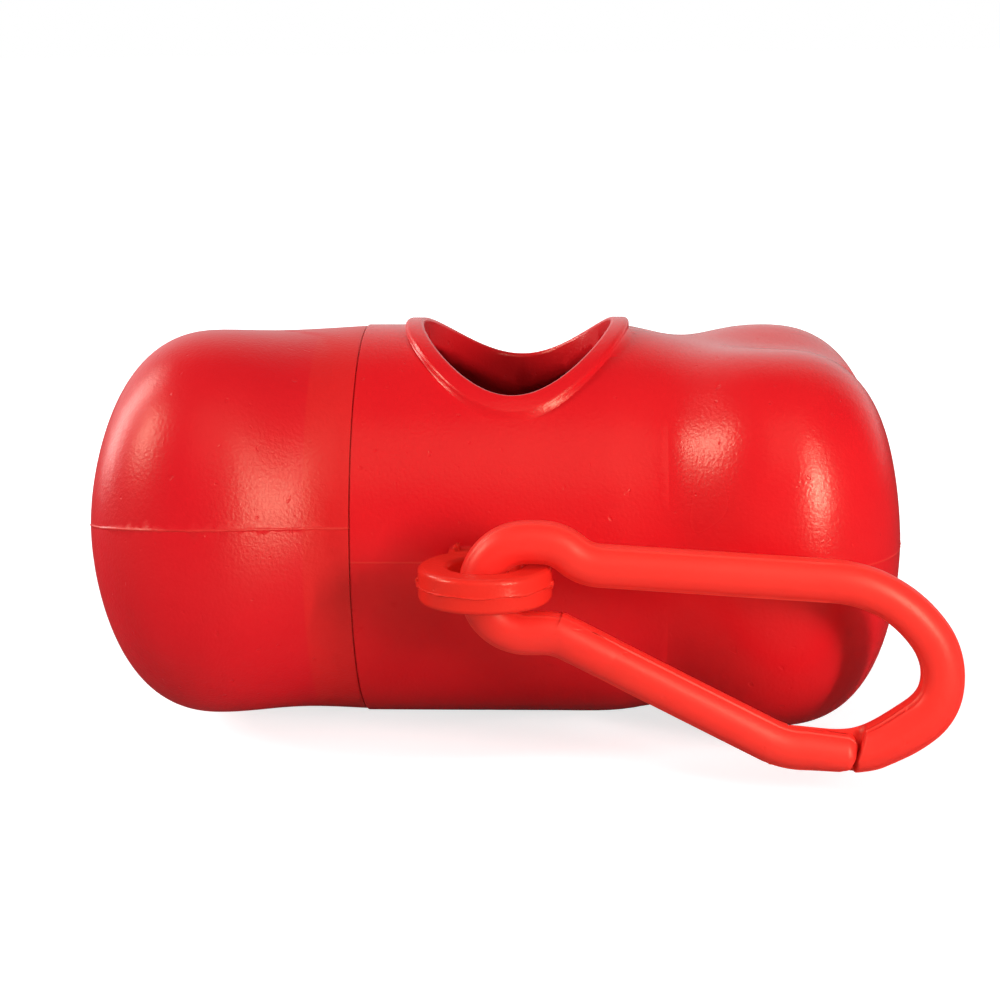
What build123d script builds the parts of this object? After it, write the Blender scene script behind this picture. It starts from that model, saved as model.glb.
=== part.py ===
from build123d import *
import math
import os

# Bag dispenser in the shape of a stubby bone: a barrel with a dispensing
# opening on top, a screw cap, a roll of bags inside and a moulded snap clip.
# X runs along the barrel (cap at -X), +Z leaves the dispensing opening and
# -Y is the side that carries the lug ring.  Each piece is drawn about the
# barrel's axis, half way between its two ends, and build() then moves it to
# the finished part's origin: under the middle of the whole, on the surface
# that the dispenser lies on.
# All sizes are in millimetres, all angles in degrees.

# ---- the barrel's axis and middle in the finished part's frame ----
MIDDLE_X = -2.1
AXIS_Y = 4.7
CAP_DROP = 0.45            # the turned-up cap's knuckle reaches this far below the barrel

# ---- barrel and cap ----
OVERALL_LENGTH = 80.0
BODY_RADIUS = 20.1
CAP_RADIUS = 20.0
WALL = 2.2
JOINT_X = -13.3            # where the barrel's shoulder meets the cap
FACE_GAP = 0.15            # between the cap's rim and that shoulder
CAP_TURNED_UP = 9.4        # how far the cap's front sits above the barrel's

# ---- knuckle ends of the barrel and the cap ----
KNUCKLE_LENGTH = 12.4      # from the widest place to the tip
KNUCKLE_HALF_WIDTH = 24.0  # across both knuckles, along Y
KNUCKLE_SPREAD = 11.5      # each knuckle's centre from the axis
BODY_KNUCKLE_HEIGHT = 18.6   # half height of each knuckle
CAP_KNUCKLE_HEIGHT = 18.9
BODY_VALLEY_HEIGHT = 17.8    # half height between the knuckles
CAP_VALLEY_HEIGHT = 19.3
SWELL_LENGTH = 14.0        # over which the round barrel turns into knuckles
LEAD_IN = 3.0              # the waist starts this far before the swell
STATION_STEP = 3.5         # spacing of the round sections before the swell
BODY_WAIST = 1.0           # how far the barrel draws in before its knuckles
CAP_WAIST = 0.2
BODY_FULLNESS = 2.55       # of the end's profile: 2 is an ellipse, more is fuller
CAP_FULLNESS = 2.35
TIP_FLAT = 0.1             # the last section lies this far inside the tip
TIP_EDGE = 0.15            # rounding round that last section
SECTION_POINTS = 24
GROOVE_RADIUS = 9.0        # upright groove between the two knuckles
GROOVE_DEPTH = 4.6
GROOVE_EDGE = 2.2

# ---- screw joint ----
NECK_LENGTH = 7.0
NECK_WALL = 1.3
THREAD_ROOM = 0.8          # radial space that the threads share
CAP_RIM_WALL = 1.4
BORE_END_GAP = 0.6         # past the end of the neck
NECK_LIP_ROUND = 0.4

# ---- dispensing opening ----
OPENING_X = 2.1
OPENING_HALF_LENGTH = 9.5  # along the barrel
OPENING_HALF_WIDTH = 13.6  # across it, seen from above
BEAD_WIDTH = 1.9
BEAD_HEIGHT = 0.7
BEAD_ROUND = 0.45

# ---- lug ring ----
RING_REACH = 27.4          # ring's centre from the barrel's axis
RING_RADIUS = 6.2
RING_HOLE_RADIUS = 3.4
RING_THICKNESS = 3.3
RING_EDGE = 0.55
ROOT_WIDTH = 7.4

# ---- snap clip, drawn in the upright plane at CLIP_REACH ----
CLIP_REACH = 28.1
ROD_RADIUS = 2.0
EYE_X = 3.9                # centre of the C that goes round the lug ring
EYE_Z = -0.35
EYE_RADIUS = 4.3           # of the C's centre line
EYE_FLAT = 1.2             # straight run over the ring's bar
ARM_TURN_DOWN = 42.0       # steepest fall behind the C
ARM_EASE_RADIUS = 4.3
ARM_FALL = 3.8
ARM_END_X = 31.6
HOOK_SHOULDER_RADIUS = 12.2
HOOK_SHOULDER_TURN = 51.0
HOOK_NOSE_RADIUS = 7.1
HOOK_NOSE_TURN = 45.0
HOOK_CHIN_RADIUS = 5.0     # tightest place, below the nose
HOOK_CHIN_TURN = 40.0
TONGUE_BEND_RADIUS = 12.0
TONGUE_RISE = 5.7          # of the hook's end, towards the gate
GATE_X = 7.7               # where the gate starts to flex
GATE_ROOT_RADIUS = 5.0
GATE_FALL = 27.5
GATE_BEND_X = 26.0
GATE_BEND_RADIUS = 8.0
GATE_TIP_X = 33.8
GATE_TIP_CURVE = 3.0       # of the tip's lower corner, seen from the front
GATE_TIP_ROUND = 1.0
TONGUE_START_X = 27.6
FLEX_GAP = 0.3             # round the gate's flexing root
LAP_GAP = 0.3              # between the gate's tip and the hook's tongue
TIP_ROOM = 0.6             # from the middle of the gate's tip to the hook's end of the lap

# ---- roll of bags ----
ROLL_RADIUS = 13.3
ROLL_LENGTH = 57.0
ROLL_EDGE = 0.6
CORE_RADIUS = 6.5
CORE_WALL = 1.0
CORE_GAP = 0.3             # between the core and the bags
ROLL_REST_GAP = 0.3        # between the roll and the floor it lies on

# ---- small helpers ----
OVERLAP = 0.6              # how far joined features run into each other
CUT_PAST = 5.0             # how far a cutter reaches past what it cuts

WIDEST_X = OVERALL_LENGTH / 2.0 - KNUCKLE_LENGTH
SWELL_X = WIDEST_X - SWELL_LENGTH
CAP_BORE = CAP_RADIUS - CAP_RIM_WALL
NECK_RADIUS = CAP_BORE - THREAD_ROOM
NECK_BORE = NECK_RADIUS - NECK_WALL
AXIS_Z = BODY_RADIUS + CAP_DROP
NECK_TIP_X = JOINT_X - NECK_LENGTH
ROLL_START_X = -ROLL_LENGTH / 2.0
ROLL_Z = -(BODY_VALLEY_HEIGHT - WALL - ROLL_RADIUS - ROLL_REST_GAP)
EYE_BOTTOM_Z = EYE_Z - EYE_RADIUS
GATE_Z = EYE_BOTTOM_Z - GATE_ROOT_RADIUS * (1.0 - math.cos(math.radians(GATE_FALL)))


def smooth_step(share):
    """0 to 1 with level ends."""
    share = min(max(share, 0.0), 1.0)
    return share * share * (3.0 - 2.0 * share)


def cylinder_x(radius, start_x, end_x):
    """Cylinder on the barrel's axis between two places."""
    length = end_x - start_x
    return Pos(start_x + length / 2.0, 0, 0) * Rot(0, 90, 0) * Cylinder(radius, length)


# ---------------------------------------------------------------- knuckles
class KnuckleEnd:
    """One knuckle end, outside or any distance inside it, on the +X side."""

    def __init__(self, radius, waist, knuckle_height, valley_height, fullness):
        self.radius = radius
        self.waist = waist
        self.knuckle_height = knuckle_height
        self.valley_height = valley_height
        self.fullness = fullness

    def waves(self, offset):
        """Mean radius and two waves round the axis that make the knuckle section."""
        side = KNUCKLE_HALF_WIDTH - offset
        valley = self.valley_height - offset
        height = self.knuckle_height - offset
        peak = math.hypot(KNUCKLE_SPREAD, height)
        angle = math.atan2(height, KNUCKLE_SPREAD)
        wave_two = (side - valley) / 2.0
        middle = (side + valley) / 2.0
        left_over = peak - wave_two * math.cos(2.0 * angle) - middle
        wave_four = left_over / (math.cos(4.0 * angle) - 1.0)
        return middle - wave_four, wave_two, wave_four

    def section(self, x, offset):
        """Closed section at one place along the barrel."""
        swell = smooth_step((x - SWELL_X) / SWELL_LENGTH)
        drawn_in = smooth_step((x - SWELL_X + LEAD_IN) / (SWELL_LENGTH + LEAD_IN))
        round_radius = self.radius - offset - self.waist * math.sin(math.pi * drawn_in)
        mean, wave_two, wave_four = self.waves(offset)
        past = max(0.0, (x - WIDEST_X) / (KNUCKLE_LENGTH - offset))
        height_left = (1.0 - past ** self.fullness) ** (1.0 / self.fullness)
        half_width = KNUCKLE_HALF_WIDTH - offset
        knuckle_side = (half_width - KNUCKLE_SPREAD) * math.sqrt(1.0 - past * past)
        width_left = (KNUCKLE_SPREAD + knuckle_side) / half_width
        points = []
        for step in range(SECTION_POINTS):
            turn = 2.0 * math.pi * step / SECTION_POINTS
            lobed = mean + wave_two * math.cos(2.0 * turn) + wave_four * math.cos(4.0 * turn)
            reach = round_radius * (1.0 - swell) + lobed * swell
            y = reach * math.cos(turn) * width_left
            z = reach * math.sin(turn) * height_left
            points.append((x, y, z))
        return Wire([Spline(points, periodic=True)])

    def loft(self, start_x, offset):
        """Round barrel from start_x, its waist and the knuckles, still without the groove."""
        past = OVERALL_LENGTH / 2.0 - offset - WIDEST_X
        plain_steps = max(1, round((SWELL_X - start_x) / STATION_STEP))
        plain_step = (SWELL_X - start_x) / plain_steps
        stations = [start_x + plain_step * step for step in range(plain_steps)]
        stations += [SWELL_X + SWELL_LENGTH * share for share in (0.0, 0.25, 0.5, 0.75, 1.0)]
        stations += [WIDEST_X + past * share for share in (0.3, 0.55, 0.74, 0.87, 0.95)]
        stations.append(WIDEST_X + past - TIP_FLAT)
        return Solid.make_loft([self.section(x, offset) for x in stations])

    def inside(self, start_x):
        """Hollow of the end, one wall inside the outside."""
        return self.loft(start_x, WALL) - groove_cutter(WALL)

    def outside(self, start_x):
        """Outside of the end, with its tip and the groove's mouth rounded."""
        form = self.loft(start_x, 0.0)
        tip_x = OVERALL_LENGTH / 2.0 - TIP_FLAT
        tip = form.edges().filter_by(lambda e: abs(e.center().X - tip_x) < 0.01)
        form = fillet(tip, TIP_EDGE) - groove_cutter(0.0)
        floor_x = OVERALL_LENGTH / 2.0 - GROOVE_DEPTH
        mouth = form.edges().filter_by(lambda e: abs(e.center().Y) < 0.1)
        mouth = mouth.filter_by(lambda e: e.center().X > floor_x - 1.0)
        return fillet(mouth, GROOVE_EDGE)


def groove_cutter(offset):
    """Upright cylinder that parts the two knuckles of the +X end."""
    centre_x = OVERALL_LENGTH / 2.0 - GROOVE_DEPTH + GROOVE_RADIUS
    return Pos(centre_x, 0, 0) * Cylinder(GROOVE_RADIUS + offset, 4.0 * BODY_RADIUS)


# ---------------------------------------------------------------- barrel
def opening_prism(half_length, half_width):
    """Upright oval prism over the dispensing opening."""
    outline = Pos(OPENING_X, 0, 0) * Ellipse(half_length, half_width)
    return extrude(outline, BODY_RADIUS + CUT_PAST)


def opening_pad():
    """Raised pad over the opening; its edge is the rim once the opening is cut."""
    band = opening_prism(OPENING_HALF_LENGTH + BEAD_WIDTH, OPENING_HALF_WIDTH + BEAD_WIDTH)
    reach = OPENING_HALF_LENGTH + 2.0 * BEAD_WIDTH
    skin = cylinder_x(BODY_RADIUS + BEAD_HEIGHT, OPENING_X - reach, OPENING_X + reach)
    skin = skin - cylinder_x(BODY_RADIUS - OVERLAP, OPENING_X - reach, OPENING_X + reach)
    pad = skin & band
    return fillet(crown_edges(pad), BEAD_ROUND)


def crown_edges(shape):
    """Edges that lie on the crown of the opening's rim."""
    crown = BODY_RADIUS + BEAD_HEIGHT
    return shape.edges().filter_by(lambda e: abs(edge_reach(e) - crown) < 0.05)


def edge_reach(edge):
    """How far a place on an edge lies from the barrel's axis."""
    place = edge.position_at(0.25)
    return math.hypot(place.Y, place.Z)


def lug_ring():
    """Flat ring that stands out of the barrel's front."""
    disc = Pos(0, -RING_REACH, 0) * Cylinder(RING_RADIUS, RING_THICKNESS)
    root_length = RING_REACH - BODY_RADIUS + OVERLAP
    root = Pos(0, -RING_REACH + root_length / 2.0, 0) * Box(ROOT_WIDTH, root_length, RING_THICKNESS)
    ring = disc + root
    ring = ring - Pos(0, -RING_REACH, 0) * Cylinder(RING_HOLE_RADIUS, 2.0 * RING_THICKNESS)
    half = RING_THICKNESS / 2.0
    rims = ring.edges().filter_by(lambda e: abs(abs(e.center().Z) - half) < 0.01)
    rims = rims.filter_by(lambda e: e.geom_type == GeomType.CIRCLE)
    return fillet(rims, RING_EDGE)


def barrel():
    """Main moulding: shell, neck, opening with its bead, and lug ring."""
    end = KnuckleEnd(BODY_RADIUS, BODY_WAIST, BODY_KNUCKLE_HEIGHT,
                     BODY_VALLEY_HEIGHT, BODY_FULLNESS)
    shell = end.outside(JOINT_X) - end.inside(JOINT_X + WALL)
    neck = cylinder_x(NECK_RADIUS, NECK_TIP_X, JOINT_X + OVERLAP)
    lip = neck.edges().filter_by(lambda e: abs(e.center().X - NECK_TIP_X) < 0.01)
    neck = fillet(lip, NECK_LIP_ROUND)
    body = shell + neck + lug_ring()
    body = body - cylinder_x(NECK_BORE, NECK_TIP_X - CUT_PAST, JOINT_X + WALL + OVERLAP)
    body = body + opening_pad()
    body = body - opening_prism(OPENING_HALF_LENGTH, OPENING_HALF_WIDTH)
    return fillet(crown_edges(body), BEAD_ROUND)


# ---------------------------------------------------------------- cap
def cap():
    """Screw cap: the other knuckle end, bored out to go over the neck."""
    rim_x = -(JOINT_X - FACE_GAP)
    bore_end_x = -(NECK_TIP_X - BORE_END_GAP)
    round_x = SWELL_X - 2.0 * STATION_STEP
    end = KnuckleEnd(CAP_RADIUS, CAP_WAIST, CAP_KNUCKLE_HEIGHT,
                     CAP_VALLEY_HEIGHT, CAP_FULLNESS)
    cup = end.outside(round_x)
    cup = cup - cylinder_x(2.0 * CAP_RADIUS, round_x - CUT_PAST, rim_x)
    cup = cup - end.inside(round_x)
    cup = cup - cylinder_x(CAP_BORE, rim_x - CUT_PAST, bore_end_x)
    cup = mirror(cup, about=Plane.YZ)
    return Rot(-CAP_TURNED_UP, 0, 0) * cup


# ---------------------------------------------------------------- snap clip
class RodRoute:
    """Centre line of the clip's rod, drawn as straight runs and tangent arcs."""

    def __init__(self, x, z, heading):
        self.x = x
        self.z = z
        self.heading = heading
        self.edges = []

    def run(self, length):
        """Straight on."""
        start = (self.x, -CLIP_REACH, self.z)
        self.x += length * math.cos(math.radians(self.heading))
        self.z += length * math.sin(math.radians(self.heading))
        self.edges.append(Line(start, (self.x, -CLIP_REACH, self.z)))

    def bend(self, radius, turn):
        """Tangent arc; a positive turn bends upwards from a heading along +X."""
        side = math.copysign(90.0, turn)
        centre_x = self.x + radius * math.cos(math.radians(self.heading + side))
        centre_z = self.z + radius * math.sin(math.radians(self.heading + side))
        places = []
        for share in (0.0, 0.5, 1.0):
            angle = math.radians(self.heading + turn * share - side)
            place_x = centre_x + radius * math.cos(angle)
            place_z = centre_z + radius * math.sin(angle)
            places.append((place_x, -CLIP_REACH, place_z))
        self.edges.append(ThreePointArc(*places))
        self.x = places[2][0]
        self.z = places[2][2]
        self.heading += turn

    def rod(self, radius):
        """Round rod along the whole route."""
        path = Wire(self.edges)
        section = Plane(origin=path @ 0, z_dir=path % 0) * Circle(radius)
        return sweep(section, path=path)


def pivot_cylinder(radius):
    """Cylinder across the clip about the line that the gate flexes about."""
    place = Pos(GATE_X, -CLIP_REACH, GATE_Z)
    return place * Rot(90, 0, 0) * Cylinder(radius, 4.0 * ROD_RADIUS)


def lap_slab(side):
    """Half space of the lap: side 1 is towards the barrel, -1 away from it."""
    depth = 4.0 * ROD_RADIUS
    y = -CLIP_REACH + side * (depth / 2.0 - LAP_GAP / 2.0)
    return Pos(GATE_TIP_X, y, 0) * Box(2.0 * OVERALL_LENGTH, depth, 2.0 * OVERALL_LENGTH)


def lap_reach(x, z):
    """How far a place on the lap lies from the gate's root."""
    return math.hypot(x - GATE_X, z - GATE_Z)


def hook_route():
    """From just past the gate's root round the C, along the arm and round the hook."""
    fall = math.radians(GATE_FALL)
    start_x = GATE_X + ROD_RADIUS * math.cos(fall)
    start_z = GATE_Z - ROD_RADIUS * math.sin(fall)
    route = RodRoute(start_x, start_z, 180.0 - GATE_FALL)
    route.run(ROD_RADIUS)
    route.bend(GATE_ROOT_RADIUS, GATE_FALL)
    route.run(route.x - EYE_X)
    route.bend(EYE_RADIUS, -180.0)
    route.run(EYE_FLAT)
    route.bend(EYE_RADIUS, -ARM_TURN_DOWN)
    route.bend(ARM_EASE_RADIUS, ARM_TURN_DOWN - ARM_FALL)
    route.run((ARM_END_X - route.x) / math.cos(math.radians(ARM_FALL)))
    route.bend(HOOK_SHOULDER_RADIUS, -HOOK_SHOULDER_TURN)
    route.bend(HOOK_NOSE_RADIUS, -HOOK_NOSE_TURN)
    route.bend(HOOK_CHIN_RADIUS, -HOOK_CHIN_TURN)
    route.bend(TONGUE_BEND_RADIUS, -(route.heading + 180.0 + TONGUE_RISE))
    route.run(route.x - TONGUE_START_X + CUT_PAST)
    return route


def gate_route():
    """From the flexing root down to the level tip."""
    route = RodRoute(GATE_X, GATE_Z, -GATE_FALL)
    route.run((GATE_BEND_X - GATE_X) / math.cos(math.radians(GATE_FALL)))
    route.bend(GATE_BEND_RADIUS, GATE_FALL)
    route.run(GATE_TIP_X - route.x)
    return route


def root_block():
    """Block that holds the hook's rounded root end and nothing else of the clip."""
    size = 4.0 * ROD_RADIUS
    ahead = Pos(size / 2.0, 0, 0) * Box(size, size, size)
    return Pos(GATE_X, -CLIP_REACH, GATE_Z) * Rot(0, GATE_FALL, 0) * ahead


def clip_hook():
    """Fixed part of the clip: C, arm, hook and the lap's rear tongue."""
    route = hook_route()
    rod = route.rod(ROD_RADIUS)
    rod = rod - (root_block() - pivot_cylinder(ROD_RADIUS))
    lap_zone = Pos(GATE_TIP_X, -CLIP_REACH, route.z) * Box(
        OVERALL_LENGTH, 4.0 * ROD_RADIUS, 4.0 * ROD_RADIUS)
    tongue_reach = lap_reach(TONGUE_START_X, route.z)
    tip_reach = lap_reach(GATE_TIP_X, gate_route().z) + TIP_ROOM
    rod = rod - (lap_zone & pivot_cylinder(tip_reach) & lap_slab(-1.0))
    return rod - (lap_zone & pivot_cylinder(tongue_reach))


def fingertip_cut(tip_z):
    """Corner that the gate's tip lacks outside its curved lower end."""
    centre_z = tip_z - ROD_RADIUS + GATE_TIP_CURVE
    centre = Pos(GATE_TIP_X - GATE_TIP_CURVE, -CLIP_REACH, centre_z)
    size = GATE_TIP_CURVE + OVERLAP
    corner = Pos(size / 2.0, 0, -size / 2.0) * Box(size, 4.0 * ROD_RADIUS, size)
    kept = Rot(90, 0, 0) * Cylinder(GATE_TIP_CURVE, 6.0 * ROD_RADIUS)
    return centre * (corner - kept)


def clip_gate():
    """Springy gate: hollowed root, straight rod and the lap's front tip."""
    route = gate_route()
    rod = route.rod(ROD_RADIUS)
    tip = rod.edges().filter_by(lambda e: abs(e.center().X - GATE_TIP_X) < 0.01)
    rod = fillet(tip, GATE_TIP_ROUND) - fingertip_cut(route.z)
    rod = rod - pivot_cylinder(ROD_RADIUS + FLEX_GAP)
    tongue_reach = lap_reach(TONGUE_START_X, hook_route().z)
    return rod - (lap_slab(1.0) - pivot_cylinder(tongue_reach - LAP_GAP))


# ---------------------------------------------------------------- roll
def roll_core():
    """Stiff tube that the bags are wound on."""
    tube = cylinder_x(CORE_RADIUS, ROLL_START_X, ROLL_START_X + ROLL_LENGTH)
    bore = cylinder_x(CORE_RADIUS - CORE_WALL, ROLL_START_X - CUT_PAST,
                      ROLL_START_X + ROLL_LENGTH + CUT_PAST)
    return Pos(0, 0, ROLL_Z) * (tube - bore)


def bag_roll():
    """Wound bags as one thick sleeve round the core."""
    sleeve = cylinder_x(ROLL_RADIUS, ROLL_START_X, ROLL_START_X + ROLL_LENGTH)
    ends = sleeve.edges().filter_by(GeomType.CIRCLE)
    sleeve = fillet(ends, ROLL_EDGE)
    bore = cylinder_x(CORE_RADIUS + CORE_GAP, ROLL_START_X - CUT_PAST,
                      ROLL_START_X + ROLL_LENGTH + CUT_PAST)
    return Pos(0, 0, ROLL_Z) * (sleeve - bore)


def build():
    """Every sub-part by its node's name, in the finished part's frame."""
    pieces = {
        "barrel": barrel(),
        "screw_cap": cap(),
        "clip_hook": clip_hook(),
        "clip_gate": clip_gate(),
        "bag_roll": bag_roll(),
        "roll_core": roll_core(),
    }
    return {name: Pos(MIDDLE_X, AXIS_Y, AXIS_Z) * piece for name, piece in pieces.items()}


if __name__ == "__main__":
    os.makedirs("parts", exist_ok=True)
    for name, shape in build().items():
        export_step(shape, f"parts/{name}.step")
        box = shape.bounding_box()
        print(name, len(shape.solids()), round(shape.volume, 1), box.min, box.max)
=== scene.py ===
"""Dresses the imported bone-shaped bag dispenser: moulded plastics, threads, wound bags and studio."""

import logging
import math
from dataclasses import dataclass
from enum import Enum

import bmesh
import bpy
from mathutils import Matrix, Vector, noise

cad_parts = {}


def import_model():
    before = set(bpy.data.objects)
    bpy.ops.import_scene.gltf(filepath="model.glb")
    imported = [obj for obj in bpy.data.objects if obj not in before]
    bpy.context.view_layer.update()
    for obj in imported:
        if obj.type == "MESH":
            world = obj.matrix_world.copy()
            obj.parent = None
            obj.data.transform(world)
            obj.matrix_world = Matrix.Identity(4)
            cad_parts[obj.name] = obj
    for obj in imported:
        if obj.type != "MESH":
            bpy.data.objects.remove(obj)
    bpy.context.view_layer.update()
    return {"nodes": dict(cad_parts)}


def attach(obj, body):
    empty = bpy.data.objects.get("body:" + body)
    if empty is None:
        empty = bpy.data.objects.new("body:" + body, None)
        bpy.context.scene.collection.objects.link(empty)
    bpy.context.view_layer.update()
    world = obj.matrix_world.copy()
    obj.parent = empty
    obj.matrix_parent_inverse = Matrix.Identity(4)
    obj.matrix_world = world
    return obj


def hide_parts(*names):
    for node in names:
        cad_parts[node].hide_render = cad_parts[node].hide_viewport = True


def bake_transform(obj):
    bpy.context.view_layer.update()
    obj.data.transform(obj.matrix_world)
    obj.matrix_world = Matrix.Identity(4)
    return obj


LOG = logging.getLogger("bag_dispenser")
MM = 0.001

# The barrel's axis and middle in the part's frame, as the CAD has them.
BARREL_MIDDLE = Vector((-2.1, 4.7, 20.55)) * MM
CLIP_PLANE_Y = -23.4 * MM
CLIP_SEAM_Y = -24.3 * MM
CAP_TURNED_UP = math.radians(9.4)
RING_MIDDLE = BARREL_MIDDLE + Vector((0.0, -27.4, 0.0)) * MM
ROD_RADIUS = 2.0 * MM

Colour = tuple[float, float, float]
NodeTree = bpy.types.NodeTree
Socket = bpy.types.NodeSocket


class SeamPlane(Enum):
    """Which plane a moulding's two halves meet in, as the turn about X that brings it level."""

    LEVEL = 0.0
    CAP = CAP_TURNED_UP
    UPRIGHT = math.pi / 2.0


# ------------------------------------------------------------------ node groups
class GroupBuilder:
    """Makes one shader node group with named sockets."""

    def __init__(self, name: str) -> None:
        """Start an empty group.

        Args:
            name: What the group is called in the materials.
        """
        self.tree = bpy.data.node_groups.new(name, "ShaderNodeTree")
        self.inside = self.tree.nodes.new("NodeGroupInput")
        self.outside = self.tree.nodes.new("NodeGroupOutput")

    def takes(self, name: str, kind: str, default: float | None = None) -> None:
        """Add an input socket.

        Args:
            name: The socket's name.
            kind: "Float" or "Vector".
            default: Its value where nothing is linked.
        """
        socket = self.tree.interface.new_socket(
            name=name, in_out="INPUT", socket_type=f"NodeSocket{kind}"
        )
        if default is not None:
            socket.default_value = default

    def gives(self, name: str, value: Socket) -> None:
        """Add a number as an output socket.

        Args:
            name: The socket's name.
            value: The socket inside the group that feeds it.
        """
        self.tree.interface.new_socket(
            name=name, in_out="OUTPUT", socket_type="NodeSocketFloat"
        )
        self.tree.links.new(value, self.outside.inputs[name])

    def math(self, operation: str, *values: Socket | float) -> Socket:
        """Add a math node.

        Args:
            operation: The node's operation.
            values: Its inputs in order, as sockets or plain numbers.

        Returns:
            The node's result.
        """
        node = self.tree.nodes.new("ShaderNodeMath")
        node.operation = operation
        for slot, value in zip(node.inputs, values):
            if isinstance(value, bpy.types.NodeSocket):
                self.tree.links.new(value, slot)
            else:
                slot.default_value = value
        return node.outputs["Value"]

    def noise(self, scale: Socket, detail: float) -> Socket:
        """Add a noise texture on the group's Place input.

        Args:
            scale: Waves per metre.
            detail: Octaves.

        Returns:
            The noise's value, about 0.5 on average.
        """
        node = self.tree.nodes.new("ShaderNodeTexNoise")
        node.inputs["Detail"].default_value = detail
        self.tree.links.new(self.inside.outputs["Place"], node.inputs["Vector"])
        self.tree.links.new(scale, node.inputs["Scale"])
        return node.outputs["Fac"]

    def steps(self, value: Socket, low: Socket | float, high: Socket | float) -> Socket:
        """Fade a value from 0 at low to 1 at high.

        Args:
            value: What is faded.
            low: Where it is 0.
            high: Where it is 1.

        Returns:
            The smooth 0 to 1 result.
        """
        node = self.tree.nodes.new("ShaderNodeMapRange")
        node.interpolation_type = "SMOOTHSTEP"
        self.tree.links.new(value, node.inputs["Value"])
        for name, limit in (("From Min", low), ("From Max", high)):
            if isinstance(limit, bpy.types.NodeSocket):
                self.tree.links.new(limit, node.inputs[name])
            else:
                node.inputs[name].default_value = limit
        return node.outputs["Result"]


def grain_group() -> NodeTree:
    """Build the fine spark-eroded grain that the mould leaves on the plastic.

    Returns:
        The group, with outputs Height and Blotch.
    """
    group = GroupBuilder("moulded_grain")
    group.takes("Place", "Vector")
    group.takes("Fineness", "Float", 3200.0)
    group.takes("Depth", "Float", 1.0)
    fine = group.noise(group.inside.outputs["Fineness"], 3.0)
    coarse_scale = group.math("MULTIPLY", group.inside.outputs["Fineness"], 0.055)
    blotch = group.noise(coarse_scale, 2.0)
    height = group.math("MULTIPLY_ADD", blotch, 0.15, fine)
    group.gives("Height", group.math("MULTIPLY", height, group.inside.outputs["Depth"]))
    group.gives("Blotch", blotch)
    return group.tree


def seam_group() -> NodeTree:
    """Build the line where the halves of a mould meet.

    Returns:
        The group, with outputs Line and Upper.
    """
    group = GroupBuilder("mould_seam")
    group.takes("Place", "Vector")
    group.takes("Half Width", "Float", 0.0001)
    parts = group.tree.nodes.new("ShaderNodeSeparateXYZ")
    group.tree.links.new(group.inside.outputs["Place"], parts.inputs[0])
    away = group.math("ABSOLUTE", parts.outputs["Z"])
    faded = group.steps(away, 0.0, group.inside.outputs["Half Width"])
    group.gives("Line", group.math("SUBTRACT", 1.0, faded))
    width = group.inside.outputs["Half Width"]
    group.gives("Upper", group.steps(parts.outputs["Z"], 0.0, width))
    return group.tree


def handling_group() -> NodeTree:
    """Build the faint rubbed patches and the odd small pit of a handled moulding.

    Returns:
        The group, with outputs Rub and Pit.
    """
    group = GroupBuilder("handling_marks")
    group.takes("Place", "Vector")
    group.takes("Patch Scale", "Float", 60.0)
    group.takes("Pit Scale", "Float", 1300.0)
    group.gives("Rub", group.noise(group.inside.outputs["Patch Scale"], 1.0))
    pits = group.noise(group.inside.outputs["Pit Scale"], 0.0)
    group.gives("Pit", group.steps(pits, 0.8, 0.86))
    return group.tree


@dataclass(frozen=True)
class EffectGroups:
    """The shared effects that the finishes place in their materials."""

    grain: NodeTree
    seam: NodeTree
    handling: NodeTree


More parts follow.
